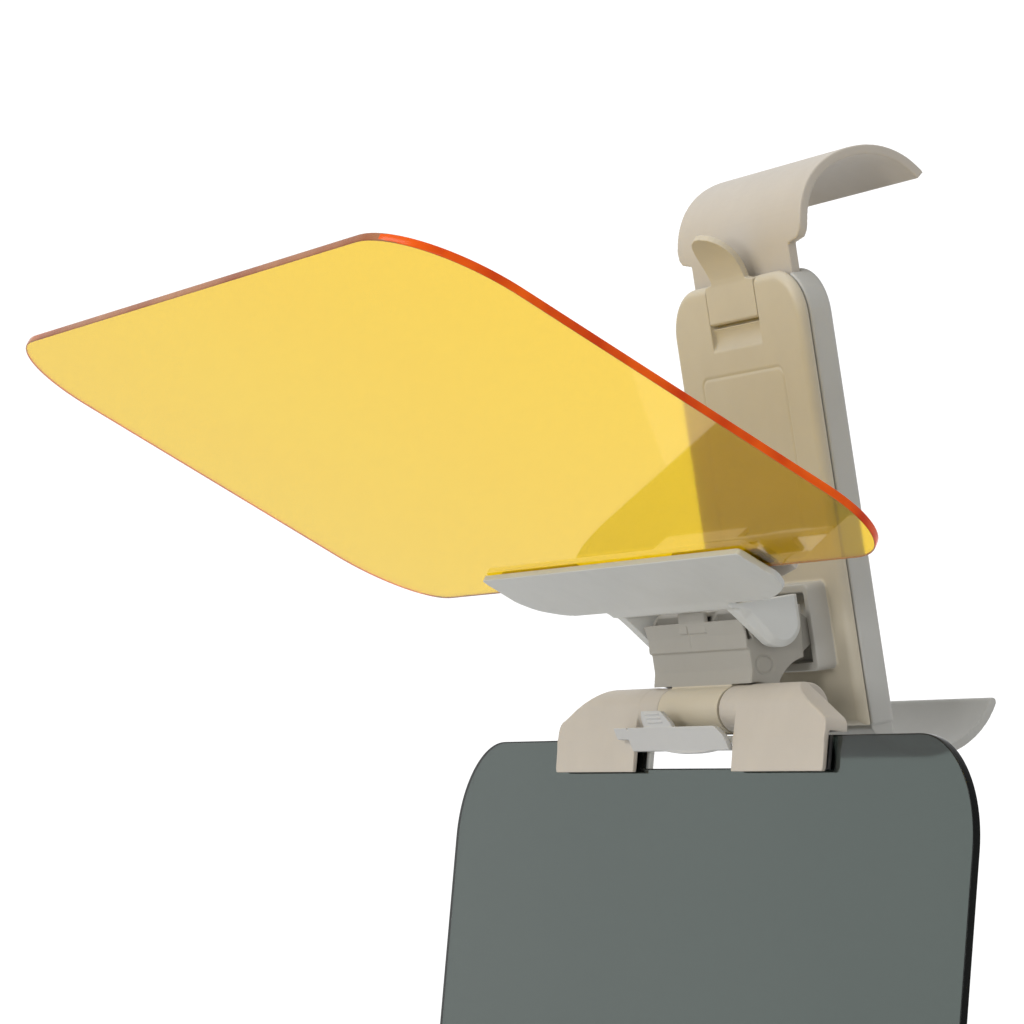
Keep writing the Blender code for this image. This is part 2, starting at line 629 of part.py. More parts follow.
def make_day_front_jaw(frame, finish):
    """The lobes in front of the day lens, wrapped over the hinge, their knuckles and a bridge."""
    back = DAY_LENS_BACK - LENS_THICK - PAD_THICK - 2 * GAP
    jaw = prism_x("day_front_jaw", day_jaw_side(back - LOBE_THICK, back), JAW_HALF, finish, frame)
    corner, foot = 1.2 * MM, DAY_FOOT - 0.3 * MM
    right_edge = [(JAW_HALF - corner, foot), (JAW_HALF, foot + corner), (JAW_HALF, WING_SHOULDER),
                  (JAW_HALF - corner, WING_SHOULDER + 2 * MM), (WRAP_HALF, WRAP_RADIUS)]
    keep_inside(jaw, prism_y("day_front_view", mirrored(right_edge), -30 * MM, 30 * MM, parent=frame))
    for side in (-1, 1):
        a, b = sorted((side * WRAP_HALF, side * FAR))
        cut(jaw, box(f"day_wing_{side}", (a, -0.4 * MM, -30 * MM), (b, 30 * MM, 30 * MM), parent=frame))
    cut(jaw, box("day_opening", (-JAW_GAP_HALF, -20 * MM, -40 * MM), (JAW_GAP_HALF, 20 * MM, 20 * MM),
                 parent=frame))
    for side, inner in ((-1, BARREL_HALF + GAP), (1, BARREL_HALF + 2 * GAP + WASHER_THICK)):
        join(jaw, rod(f"day_knuckle_{side}", DAY_BARREL_RADIUS, (side * 31 * MM, 0, 0), (side * inner, 0, 0),
                      parent=frame, sides=32))
    bridge_top = -DAY_BARREL_RADIUS - GAP
    join(jaw, box("day_bridge", (-BRIDGE_HALF, -0.2 * MM, BRIDGE_FOOT), (BRIDGE_HALF, 3 * MM, bridge_top),
                  parent=frame))
    for side in (-1, 1):
        a, b = sorted((side * (JAW_GAP_HALF + 0.1 * MM), side * (BRIDGE_HALF - 0.2 * MM)))
        join(jaw, box(f"bridge_root_{side}", (a, 0, BRIDGE_FOOT + 0.4 * MM), (b, 2.8 * MM, -5 * MM),
                      parent=frame))
    reach = Vector((36.4 * MM, 0, 0))
    return cut(jaw, rod("day_jaw_bore", PIN_RADIUS + GAP, -reach, reach, parent=frame))


def make_day_back_jaw(frame, finish):
    """The plate behind the day lens: two lobes joined by a strip along the top."""
    outline = lobes_outline(DAY_BACK_TOP, -14.6 * MM, DAY_FOOT, DAY_BACK_TOP - 2 * MM)
    return prism_y("day_back_jaw", outline, DAY_LENS_BACK + GAP, -0.5 * MM, finish, frame)


def slanted(start, end, back_shift, front_shift=0.0):
    """The (Y, Z) outline of a plate from start to end; the shifts move its two faces along +Y."""
    return [(start[0] + front_shift, start[1]), (start[0] + back_shift, start[1]),
            (end[0] + back_shift, end[1]), (end[0] + front_shift, end[1])]


def make_day_catch(frame, finish):
    """The T-shaped latch: a web through the lens notch, a slanted bar, and a finger tab above it."""
    root = Vector((0, DAY_LENS_BACK, -9.8 * MM))
    foot, tip, tab_top = (-8 * MM, -12.3 * MM), (-11.8 * MM, -5.75 * MM), (-14.3 * MM, -1.4 * MM)
    wall = 1.9 * MM
    bar = prism_x("day_catch", slanted(foot, tip, wall), CATCH_HALF, finish, frame)
    chamfered = mirrored([(CATCH_HALF, -14 * MM), (CATCH_HALF, tip[1] - 3 * MM),
                          (CATCH_HALF - 4 * MM, tip[1] + 1 * MM)])
    keep_inside(bar, prism_y("catch_front_view", chamfered, -20 * MM, 0, parent=frame))
    join(bar, prism_x("catch_tab", slanted(foot, tab_top, wall - 0.1 * MM, 0.1 * MM), TAB_WIDTH / 2,
                      parent=frame, centre=TAB_CENTRE))
    web = [(root.y - 0.1 * MM, root.z - 0.8 * MM), (root.y - 0.1 * MM, root.z + 0.8 * MM),
           (-8.6 * MM, root.z + 0.8 * MM), (-8.6 * MM, root.z - 0.8 * MM)]
    join(bar, prism_x("catch_web", web, 9.8 * MM, parent=frame))
    return put_origin(bar, root)


# ---- assembly ------------------------------------------------------------------------------
def make_materials():
    return {
        "beige": material("beige_abs", BEIGE, 0.5),
        "grey": material("grey_abs", WARM_GREY, 0.5),
        "light": material("light_grey_abs", LIGHT_GREY, 0.45),
        "amber": material("amber_acrylic", AMBER, 0.08, transmission=0.9),
        "smoke": material("smoke_acrylic", SMOKE, 0.08, transmission=0.6),
        "steel": material("steel", STEEL, 0.3, 1.0),
        "rubber": material("black_rubber", RUBBER, 0.8),
    }


def make_clip(finish):
    make_front_shell(finish["beige"])
    make_rear_shell(finish["grey"])
    make_shell_screws(finish["steel"])
    make_upper_hook(finish["beige"])
    make_lock_lever(finish["beige"])
    make_lever_pin(finish["steel"])


def make_arm(finish):
    make_arm_bracket(finish["beige"])
    make_pins(finish["steel"])
    make_washer("night_washer_left", NIGHT_AXIS, -NIGHT_WASHER_X, finish["steel"])
    make_washer("night_washer_right", NIGHT_AXIS, NIGHT_WASHER_X, finish["steel"])
    make_washer("day_washer", DAY_AXIS, DAY_WASHER_X, finish["steel"])


def make_night_holder(finish):
    frame = hinge_frame("night_hinge", NIGHT_AXIS, NIGHT_ANGLE)
    make_lens("night_lens", frame, NIGHT_LENS_TOP, NIGHT_LENS_BACK, finish["amber"])
    make_night_back_jaw(frame, finish["light"])
    make_night_front_jaw(frame, finish["beige"])
    make_pads("night", frame, -35 * MM, -30 * MM, NIGHT_LENS_BACK - LENS_THICK - GAP, finish["rubber"])


def make_day_holder(finish):
    frame = hinge_frame("day_hinge", DAY_AXIS, DAY_ANGLE)
    make_lens("day_lens", frame, DAY_LENS_TOP, DAY_LENS_BACK, finish["smoke"])
    make_day_front_jaw(frame, finish["beige"])
    make_day_back_jaw(frame, finish["light"])
    make_pads("day", frame, -17.6 * MM, -8.4 * MM, DAY_LENS_BACK - LENS_THICK - GAP, finish["rubber"])
    make_day_catch(frame, finish["light"])


def shade_smooth():
    for part in PARTS.objects:
        if part.type == "MESH":
            part.data.shade_smooth()
            part.data.set_sharp_from_angle(angle=radians(35))


def main():
    finish = make_materials()
    make_clip(finish)
    make_arm(finish)
    make_night_holder(finish)
    make_day_holder(finish)
    shade_smooth()


main()
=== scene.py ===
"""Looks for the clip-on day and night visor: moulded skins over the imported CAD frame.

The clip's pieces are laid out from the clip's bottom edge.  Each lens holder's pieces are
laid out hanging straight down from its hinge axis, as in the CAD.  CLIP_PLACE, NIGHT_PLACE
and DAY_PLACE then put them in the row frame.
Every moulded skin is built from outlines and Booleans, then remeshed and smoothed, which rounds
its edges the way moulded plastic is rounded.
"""

import json
from math import cos, radians, sin, sqrt

import bmesh
import bpy
from mathutils import Matrix, Vector

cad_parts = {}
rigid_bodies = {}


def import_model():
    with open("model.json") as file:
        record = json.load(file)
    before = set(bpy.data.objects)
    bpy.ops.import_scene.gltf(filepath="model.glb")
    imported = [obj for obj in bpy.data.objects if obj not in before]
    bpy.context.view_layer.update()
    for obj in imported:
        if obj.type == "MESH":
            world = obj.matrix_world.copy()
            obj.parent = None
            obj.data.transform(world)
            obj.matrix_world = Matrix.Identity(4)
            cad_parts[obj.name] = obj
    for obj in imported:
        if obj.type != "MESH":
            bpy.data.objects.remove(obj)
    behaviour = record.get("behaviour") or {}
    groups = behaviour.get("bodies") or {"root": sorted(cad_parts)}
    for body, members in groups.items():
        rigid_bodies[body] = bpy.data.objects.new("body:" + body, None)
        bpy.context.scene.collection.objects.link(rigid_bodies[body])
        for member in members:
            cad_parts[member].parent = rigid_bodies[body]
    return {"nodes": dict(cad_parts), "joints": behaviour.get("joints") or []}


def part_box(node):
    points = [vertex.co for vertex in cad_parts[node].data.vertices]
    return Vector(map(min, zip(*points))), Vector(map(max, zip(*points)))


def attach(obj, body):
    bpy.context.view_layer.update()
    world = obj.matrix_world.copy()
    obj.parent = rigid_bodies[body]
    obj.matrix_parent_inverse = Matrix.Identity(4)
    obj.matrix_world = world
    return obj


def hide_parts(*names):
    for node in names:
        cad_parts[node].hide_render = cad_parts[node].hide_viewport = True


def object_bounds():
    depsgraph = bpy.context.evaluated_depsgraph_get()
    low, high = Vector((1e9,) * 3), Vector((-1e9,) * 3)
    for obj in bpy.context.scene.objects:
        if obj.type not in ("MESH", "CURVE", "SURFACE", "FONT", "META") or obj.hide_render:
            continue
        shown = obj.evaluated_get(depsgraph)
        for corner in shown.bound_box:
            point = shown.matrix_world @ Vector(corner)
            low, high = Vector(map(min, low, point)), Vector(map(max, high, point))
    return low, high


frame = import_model()
CAD_BOX = [list(corner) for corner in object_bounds()]

MM = 0.001
GAP = 0.3 * MM
BUILD = bpy.data.collections.new("construction")
bpy.context.scene.collection.children.link(BUILD)


# ---- places and sizes from the frame --------------------------------------------
def joint_place(name):
    return next(Vector(j["pos_m"]) for j in frame["joints"] if j["name"] == name)


SHELL_LOW, SHELL_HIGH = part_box("front_shell")
BOTTOM = SHELL_LOW.z
CLIP_HALF = SHELL_HIGH.x
CLIP_HEIGHT = SHELL_HIGH.z - BOTTOM
HOOK_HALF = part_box("upper_hook")[1].x
JAW_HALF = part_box("day_front_jaw")[1].x
LENS_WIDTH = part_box("day_lens")[1].x * 2

NIGHT_ANGLE = radians(127.5)
DAY_ANGLE = radians(15)
CLIP_PLACE = Matrix.Translation((0, 0, BOTTOM))
NIGHT_PLACE = Matrix.Translation(joint_place("night_hinge")) @ Matrix.Rotation(-NIGHT_ANGLE, 4, "X")
DAY_PLACE = Matrix.Translation(joint_place("day_hinge")) @ Matrix.Rotation(-DAY_ANGLE, 4, "X")


def in_clip(name):
    """A joint's place, measured from the clip's bottom edge."""
    return joint_place(name) - Vector((0, 0, BOTTOM))


NIGHT_AXIS = in_clip("night_hinge")
DAY_AXIS = in_clip("day_hinge")
TILT_AXIS = in_clip("arm_tilt")
LEVER_AXIS = in_clip("lever_hinge")


# ---- outlines ---------------------------------------------------------------------
def arc(centre, radius, start_deg, end_deg, steps):
    turn = radians(end_deg - start_deg) / steps
    angles = [radians(start_deg) + turn * i for i in range(steps + 1)]
    return [(centre[0] + radius * cos(a), centre[1] + radius * sin(a)) for a in angles]


def rounded_box(left, right, low, high, low_radius, high_radius, steps=8):
    """A rectangle with its own radius at the bottom pair and the top pair of corners."""
    points = []
    corners = [(left, low, 1, 1, low_radius, 180), (right, low, -1, 1, low_radius, 270),
               (right, high, -1, -1, high_radius, 0), (left, high, 1, -1, high_radius, 90)]
    for u, v, to_u, to_v, radius, start in corners:
        if radius:
            points += arc((u + to_u * radius, v + to_v * radius), radius, start, start + 90, steps)
        else:
            points.append((u, v))
    return points


def mirrored(right_side):
    """A closed outline from its right-hand side, listed anticlockwise."""
    return right_side + [(-u, v) for u, v in reversed(right_side)]


def turned(points, angle):
    """The points turned about the origin, the way a positive hinge angle lifts a lens."""
    return [(u * cos(angle) + v * sin(angle), v * cos(angle) - u * sin(angle)) for u, v in points]


def fillet(points, radii, steps=5):
    """The closed outline with each corner rounded by its own radius; 0 leaves it sharp."""
    made = []
    for i, (corner, radius) in enumerate(zip(points, radii)):
        here = Vector(corner)
        back = (Vector(points[i - 1]) - here)
        ahead = (Vector(points[(i + 1) % len(points)]) - here)
        if not radius:
            made.append(tuple(here))
            continue
        reach = min(radius, back.length * 0.49, ahead.length * 0.49)
        start, end = here + back.normalized() * reach, here + ahead.normalized() * reach
        for step in range(steps + 1):
            t = step / steps
            made.append(tuple(start * (1 - t) ** 2 + here * 2 * t * (1 - t) + end * t * t))
    return made


# ---- solids under construction ---------------------------------------------------------
def under_construction(mesh):
    made = bpy.data.objects.new("solid", mesh)
    BUILD.objects.link(made)
    return made


def loft(rings):
    """A closed solid through rings of matching points, capped at both ends."""
    mesh = bpy.data.meshes.new("loft")
    work = bmesh.new()
    rows = [[work.verts.new(point) for point in ring] for ring in rings]
    for low, high in zip(rows, rows[1:]):
        count = len(low)
        for i in range(count):
            work.faces.new((low[i], low[(i + 1) % count], high[(i + 1) % count], high[i]))
    work.faces.new(rows[0][::-1])
    work.faces.new(rows[-1])
    bmesh.ops.recalc_face_normals(work, faces=work.faces)
    work.to_mesh(mesh)
    work.free()
    return under_construction(mesh)


def prism_x(outline, half, centre=0.0):
    """A (Y, Z) outline extruded along X."""
    return loft([[(centre + side * half, y, z) for y, z in outline] for side in (-1, 1)])


def prism_y(outline, front, back):
    """An (X, Z) outline extruded from Y = front to Y = back."""
    return loft([[(x, y, z) for x, z in outline] for y in (front, back)])


def box(low, high):
    outline = [(low[1], low[2]), (high[1], low[2]), (high[1], high[2]), (low[1], high[2])]
    return prism_x(outline, (high[0] - low[0]) / 2, (high[0] + low[0]) / 2)


def rod(radius, start, end, sides=40):
    start, end = Vector(start), Vector(end)
    mesh = bpy.data.meshes.new("rod")
    work = bmesh.new()
    turn = (end - start).to_track_quat("Z", "Y").to_matrix().to_4x4()
    bmesh.ops.create_cone(work, cap_ends=True, segments=sides, radius1=radius, radius2=radius,
                          depth=(end - start).length, matrix=Matrix.Translation((start + end) / 2) @ turn)
    work.to_mesh(mesh)
    work.free()
    return under_construction(mesh)


def boolean(body, tools, operation):
    for tool in tools:
        modifier = body.modifiers.new("boolean", "BOOLEAN")
        modifier.operation = operation
        modifier.solver = "EXACT"
        modifier.object = tool
        tool.hide_render = True
        tool.hide_viewport = True
    return body


def join(body, *tools):
    return boolean(body, tools, "UNION")


def cut(body, *tools):
    return boolean(body, tools, "DIFFERENCE")


def keep_inside(body, *tools):
    return boolean(body, tools, "INTERSECT")


def bent_sheet(stations, thickness, columns=24):
    """A sheet bent along (Y, Z) stations, each with its own half width; it thickens inwards."""
    mesh = bpy.data.meshes.new("sheet")
    work = bmesh.new()
    rows = []
    for y, z, half in stations:
        across = [half * (2 * i / columns - 1) for i in range(columns + 1)]
        rows.append([work.verts.new((x, y, z)) for x in across])
    for low, high in zip(rows, rows[1:]):
        for i in range(columns):
            work.faces.new((low[i], low[i + 1], high[i + 1], high[i]))
    work.to_mesh(mesh)
    work.free()
    made = under_construction(mesh)
    solid = made.modifiers.new("wall", "SOLIDIFY")
    solid.thickness = thickness
    solid.offset = -1
    return made


def round_edges(body, voxel, rounds, share):
    """Remeshes and smooths, so that every edge gets a small moulded radius."""
    remesh = body.modifiers.new("remesh", "REMESH")
    remesh.mode = "VOXEL"
    remesh.voxel_size = voxel
    smooth = body.modifiers.new("smooth", "SMOOTH")
    smooth.factor = 0.5
    smooth.iterations = rounds
    thin = body.modifiers.new("thin", "DECIMATE")
    thin.ratio = share
    return body


def bake_down(body, place):
    """The body's final mesh in the row frame; what it was built from is thrown away."""
    bpy.context.view_layer.update()
    seen = body.evaluated_get(bpy.context.evaluated_depsgraph_get())
    mesh = bpy.data.meshes.new_from_object(seen)
    mesh.transform(place)
    for old in list(BUILD.objects):
        bpy.data.objects.remove(old)
    return mesh


def skin(name, body_mesh, rides_on, slot, finish, *nodes):
    """A finished piece that rides on a CAD body and stands for its CAD nodes."""
    made = bpy.data.objects.new(name, body_mesh)
    bpy.context.scene.collection.objects.link(made)
    if not body_mesh.materials:
        body_mesh.materials.append(finish)
    body_mesh.shade_smooth()
    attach(made, rides_on)
    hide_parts(*nodes)
    return made


def moulded(name, solid, place, rides_on, slot, finish, nodes, voxel, rounds, share):
    """A moulded skin: the solid with its edges rounded, in place, standing for its CAD nodes."""
    mesh = bake_down(round_edges(solid, voxel, rounds, share), place)
    return skin(name, mesh, rides_on, slot, finish, *nodes)


def paint_light_tone(made, finish, inside):
    """Paints a second tone on the faces whose centre passes the test; it stands in for light or shade."""
    made.data.materials.append(finish)
    for face in made.data.polygons:
        if inside(face.center):
            face.material_index = 1


# ---- materials ---------------------------------------------------------------------------
def new_material(name):
    made = bpy.data.materials.new(name)
    made.use_nodes = True
    nodes, links = made.node_tree.nodes, made.node_tree.links
    return made, nodes, links, nodes["Principled BSDF"]


def noise(nodes, links, scale, detail=3.0, roughness=0.5):
    """A noise in the object's own metres, so that it stays put when a piece moves."""
    where = nodes.new("ShaderNodeTexCoord")
    made = nodes.new("ShaderNodeTexNoise")
    made.inputs["Scale"].default_value = scale
    made.inputs["Detail"].default_value = detail
    made.inputs["Roughness"].default_value = roughness
    links.new(where.outputs["Object"], made.inputs["Vector"])
    return made.outputs["Fac"]


def ramp(nodes, links, source, stops):
    made = nodes.new("ShaderNodeValToRGB")
    band = made.color_ramp
    while len(band.elements) < len(stops):
        band.elements.new(0.5)
    for element, (place, colour) in zip(band.elements, stops):
        element.position = place
        element.color = (*colour, 1)
    links.new(source, made.inputs["Fac"])
    return made.outputs["Color"]


def range_of(nodes, links, source, low, high):
    made = nodes.new("ShaderNodeMapRange")
    made.inputs["To Min"].default_value = low
    made.inputs["To Max"].default_value = high
    links.new(source, made.inputs["Value"])
    return made.outputs["Result"]


def bump(nodes, links, shader, source, strength, distance):
    made = nodes.new("ShaderNodeBump")
    made.inputs["Strength"].default_value = strength
    made.inputs["Distance"].default_value = distance
    links.new(source, made.inputs["Height"])
    links.new(made.outputs["Normal"], shader.inputs["Normal"])


def shaded(colour, share):
    return tuple(min(1.0, c * share) for c in colour)


def moulded_plastic(name, colour, warm, roughness=0.46):
    """Satin ABS: faint flow marks in the colour, uneven gloss and a spark-eroded grain."""
    made, nodes, links, shader = new_material(name)
    mottle = noise(nodes, links, 55, 4, 0.6)
    stops = [(0.3, shaded(colour, 0.975)), (0.5, colour), (0.72, warm)]
    links.new(ramp(nodes, links, mottle, stops), shader.inputs["Base Color"])
    gloss = noise(nodes, links, 260, 2)
    links.new(range_of(nodes, links, gloss, roughness - 0.07, roughness + 0.08), shader.inputs["Roughness"])
    shader.inputs["IOR"].default_value = 1.5
    shader.inputs["Subsurface Weight"].default_value = 0.06
    shader.inputs["Subsurface Radius"].default_value = (1.0, 0.8, 0.6)
    shader.inputs["Subsurface Scale"].default_value = 0.0012
    bump(nodes, links, shader, noise(nodes, links, 2600, 2, 0.7), 0.12, 0.00006)
    return made


def tinted_acrylic(name, colour, deep, roughness, gloss):
    """Clear tinted sheet: the tint drifts a little across it and the polish is faintly uneven."""
    made, nodes, links, shader = new_material(name)
    drift = noise(nodes, links, 7, 2)
    links.new(ramp(nodes, links, drift, [(0.35, colour), (0.7, deep)]), shader.inputs["Base Color"])
    wear = noise(nodes, links, 120, 5, 0.7)
    links.new(range_of(nodes, links, wear, roughness, roughness + 0.02), shader.inputs["Roughness"])
    shader.inputs["IOR"].default_value = 1.49
    shader.inputs["Specular Tint"].default_value = gloss + (1,)
    shader.inputs["Transmission Weight"].default_value = 1.0
    bump(nodes, links, shader, noise(nodes, links, 30, 1), 0.01, 0.0002)
    return made


def acrylic_edge(name, colour, hot, glow):
    """The sawn and polished edge, with a painted glow: its tint is also emitted, standing in for light
    trapped in the sheet coming out.
    """
    made, nodes, links, shader = new_material(name)
    streaks = noise(nodes, links, 40, 3, 0.6)
    tint = ramp(nodes, links, streaks, [(0.3, colour), (0.65, hot)])
    links.new(tint, shader.inputs["Base Color"])
    # painted glow: the streaked edge tint is emitted as well
    links.new(tint, shader.inputs["Emission Color"])
    shader.inputs["Emission Strength"].default_value = glow
    shader.inputs["Transmission Weight"].default_value = 0.4
    shader.inputs["IOR"].default_value = 1.25
    links.new(range_of(nodes, links, noise(nodes, links, 300, 2), 0.12, 0.3), shader.inputs["Roughness"])
    return made


def rubber(name):
    made, nodes, links, shader = new_material(name)
    dust = noise(nodes, links, 500, 4, 0.65)
    stops = [(0.4, (0.012, 0.012, 0.013)), (0.8, (0.035, 0.034, 0.032))]
    links.new(ramp(nodes, links, dust, stops), shader.inputs["Base Color"])
    links.new(range_of(nodes, links, dust, 0.7, 0.9), shader.inputs["Roughness"])
    bump(nodes, links, shader, noise(nodes, links, 3000, 2), 0.3, 0.0001)
    return made


def turned_steel(name):
    made, nodes, links, shader = new_material(name)
    marks = noise(nodes, links, 900, 4, 0.6)
    stops = [(0.35, (0.42, 0.42, 0.43)), (0.7, (0.66, 0.66, 0.67))]
    links.new(ramp(nodes, links, marks, stops), shader.inputs["Base Color"])
    shader.inputs["Metallic"].default_value = 1.0
    links.new(range_of(nodes, links, marks, 0.22, 0.42), shader.inputs["Roughness"])
    bump(nodes, links, shader, marks, 0.1, 0.00005)
    return made


BEIGE = moulded_plastic("beige_abs", (0.545, 0.49, 0.38), (0.56, 0.505, 0.39))
PALE_BEIGE = moulded_plastic("pale_beige_abs", (0.51, 0.466, 0.405), (0.525, 0.48, 0.415))
# A darkened copy of the beige for the arm: painted shade for the shadow under the lenses and hinge plate.
ARM_PAINTED_SHADE = moulded_plastic("arm_beige_abs_painted_shade", (0.35, 0.332, 0.29), (0.36, 0.342, 0.30))
# A greyer, darker copy of the beige for the socket: painted shade where the arm and lenses shadow it.
SOCKET_PAINTED_SHADE = moulded_plastic("socket_beige_abs_painted_shade", (0.47, 0.455, 0.415), (0.48, 0.465, 0.42))
GREY = moulded_plastic("grey_abs", (0.49, 0.485, 0.455), (0.5, 0.495, 0.465))
LIGHT = moulded_plastic("light_grey_abs", (0.585, 0.59, 0.565), (0.6, 0.605, 0.58), 0.4)
PALE_GREY = moulded_plastic("pale_grey_abs", (0.50, 0.50, 0.49), (0.51, 0.51, 0.495), 0.4)
AMBER = tinted_acrylic("amber_acrylic", (1.0, 0.665, 0.004), (1.0, 0.65, 0.003), 0.02, (1, 0.8, 0.4))
# The amber edges carry a painted glow by emission, strong on the side edges and faint on the others.
AMBER_EDGE = acrylic_edge("amber_edge", (0.6, 0.03, 0.001), (1.0, 0.14, 0.003), 0.3)
AMBER_RIM = acrylic_edge("amber_rim", (0.45, 0.13, 0.05), (0.62, 0.27, 0.12), 0.02)
SMOKE = tinted_acrylic("smoke_acrylic", (0.078, 0.1, 0.091), (0.073, 0.095, 0.087), 0.05, (1, 1, 1))
SMOKE_EDGE = acrylic_edge("smoke_edge", (0.004, 0.005, 0.005), (0.007, 0.009, 0.008), 0.0)
RUBBER = rubber("black_rubber")
STEEL = turned_steel("steel")


# ---- clip -----------------------------------------------------------------------------------
CLIP_FRONT = -11 * MM
PARTING = -7.6 * MM
CLIP_CORNER = 14 * MM
SOCKET_HALF = 30 * MM
SOCKET_LOW = 17 * MM
SOCKET_HIGH = 42 * MM
SOCKET_FRONT = -17.5 * MM
SOCKET_WALL = 2.6 * MM
LEVER_CLEAR = 14.6 * MM
RECESS_LOW = 118.2 * MM
RECESS_FLOOR = CLIP_FRONT + 2.6 * MM
SHELL_WALL = 1.6 * MM
SCREW_PLACES = [(side * 33 * MM, height) for height in (9 * MM, 108 * MM) for side in (-1, 1)]


def clip_ring(inset, y):
    low, high = inset, CLIP_HEIGHT - inset
    half = CLIP_HALF - inset
    return [(x, y, z) for x, z in rounded_box(-half, half, low, high, 0, CLIP_CORNER - inset, 16)]


def rounded_rim(y_edge, radius, towards, steps=6):
    """(inset, Y) pairs that roll an edge over towards the face at y_edge."""
    turns = [radians(90 * i / steps) for i in range(steps + 1)]
    return [(radius * (1 - cos(t)), y_edge + towards * radius * (sin(t) - 1)) for t in turns]


def frame_line():
    """The shallow rounded rectangle engraved on the clip's face."""
    low, high, half, line = 50 * MM, 104.4 * MM, 24.5 * MM, 0.8 * MM
    outer = rounded_box(-half, half, low, high, 3.5 * MM, 3.5 * MM)
    inner = rounded_box(-half + line, half - line, low + line, high - line, 2.7 * MM, 2.7 * MM)
    groove = prism_y(outer, CLIP_FRONT - 1 * MM, CLIP_FRONT + 0.4 * MM)
    return cut(groove, prism_y(inner, CLIP_FRONT - 2 * MM, CLIP_FRONT + 1 * MM))


def make_front_shell():
    rim = [(0.35 * MM, PARTING - 0.15 * MM), (0, PARTING - 0.6 * MM)]
    rim += rounded_rim(CLIP_FRONT, 2.6 * MM, -1)
    shell = loft([clip_ring(inset, y) for inset, y in rim])
    socket = rounded_box(-SOCKET_HALF, SOCKET_HALF, SOCKET_LOW, SOCKET_HIGH, 2.2 * MM, 2.2 * MM)
    join(shell, prism_y(socket, SOCKET_FRONT, CLIP_FRONT + 1 * MM))
    inner = SOCKET_HALF - SOCKET_WALL
    cut(shell, box((-inner, SOCKET_FRONT - 7.5 * MM, SOCKET_LOW + SOCKET_WALL),
                   (inner, CLIP_FRONT - 1.7 * MM, SOCKET_HIGH - SOCKET_WALL)))
    cut(shell, box((-LEVER_CLEAR, CLIP_FRONT - 5 * MM, RECESS_LOW),
                   (LEVER_CLEAR, RECESS_FLOOR, CLIP_HEIGHT + 5 * MM)))
    scoop = Vector((0, CLIP_FRONT - 3 * MM, 115.5 * MM))
    reach = Vector((LEVER_CLEAR, 0, 0))
    cut(shell, rod(5 * MM, scoop - reach, scoop + reach, 64))
    cut(shell, box((-6 * MM, CLIP_FRONT, 121.8 * MM), (6 * MM, -6 * MM, 129 * MM)))
    cut(shell, frame_line())
    made = moulded("front_shell_skin", shell, CLIP_PLACE, "clip", "beige_abs", BEIGE, ["front_shell"],
                   0.32 * MM, 4, 0.2)
    # The socket's faces, in front of the clip's face and below 43 mm, take the greyer tone: painted shade.
    top = BOTTOM + 43 * MM
    paint_light_tone(made, SOCKET_PAINTED_SHADE, lambda at: at.y < CLIP_FRONT - 0.4 * MM and at.z < top)


def lower_hook_outline():
    """The curved lip under the clip, as (Y, Z)."""
    centre, radius, wall = (13.6 * MM, 12.5 * MM), 25 * MM, 2.6 * MM
    outer = arc(centre, radius, 213, 328, 40)
    middle = radius - wall / 2
    tip = (centre[0] + middle * cos(radians(328)), centre[1] + middle * sin(radians(328)))
    end = arc(tip, wall / 2, 328 + 20, 328 + 160, 8)
    inner = arc(centre, radius - wall, 328, 232, 36)
    return outer + end + inner + [(-0.3 * MM, 0.9 * MM), (PARTING + 0.6 * MM, 0.9 * MM)]


def make_rear_shell():
    rim = [(0.35 * MM, PARTING + 0.15 * MM), (0, PARTING + 0.6 * MM), (0, -1.2 * MM)]
    rim += rounded_rim(0, 1.2 * MM, 1, 4)[1:]
    shell = loft([clip_ring(inset, y) for inset, y in rim])
    hollow = rounded_box(-36 * MM, 36 * MM, 2 * MM, CLIP_HEIGHT - 2 * MM, 0, 12 * MM)
    cut(shell, prism_y(hollow, -20 * MM, -SHELL_WALL))
    join(shell, prism_x(lower_hook_outline(), HOOK_HALF))
    cut(shell, box((-29.3 * MM, -9 * MM, 111 * MM), (29.3 * MM, -3.1 * MM, CLIP_HEIGHT + 5 * MM)))
    for x, height in SCREW_PLACES:
        cut(shell, rod(2.9 * MM, (x, -0.8 * MM, height), (x, 5 * MM, height)))
    moulded("rear_shell_skin", shell, CLIP_PLACE, "clip", "grey_abs", GREY, ["rear_shell"],
            0.34 * MM, 4, 0.2)


def screw_ring(x, height, radius, y):
    angles = [radians(12 * i) for i in range(30)]
    return [(x + radius * cos(a), y, height + radius * sin(a)) for a in angles]


def make_screws():
    """Domed heads with a cross recess, in the back of the clip."""
    dome = ((2.5 * MM, -0.5 * MM), (2.5 * MM, -0.3 * MM), (1.9 * MM, -0.12 * MM), (1.0 * MM, -0.06 * MM))
    for i, (x, height) in enumerate(SCREW_PLACES):
        head = loft([screw_ring(x, height, radius, y) for radius, y in dome])
        for wide, tall in ((1.5 * MM, 0.35 * MM), (0.35 * MM, 1.5 * MM)):
            cut(head, box((x - wide, -0.4 * MM, height - tall), (x + wide, 1 * MM, height + tall)))
        mesh = bake_down(head, CLIP_PLACE)
        skin(f"screw_head_{i + 1}", mesh, "clip", "steel", STEEL, f"shell_screw_{i + 1}")


# ---- upper hook and lever ----------------------------------------------------------------------
NECK_FRONT = -6.2 * MM
NECK_HALF = 29 * MM
SHOULDER = 138 * MM
ARCH_RADIUS = 24 * MM
HOOK_CORNER = 6 * MM


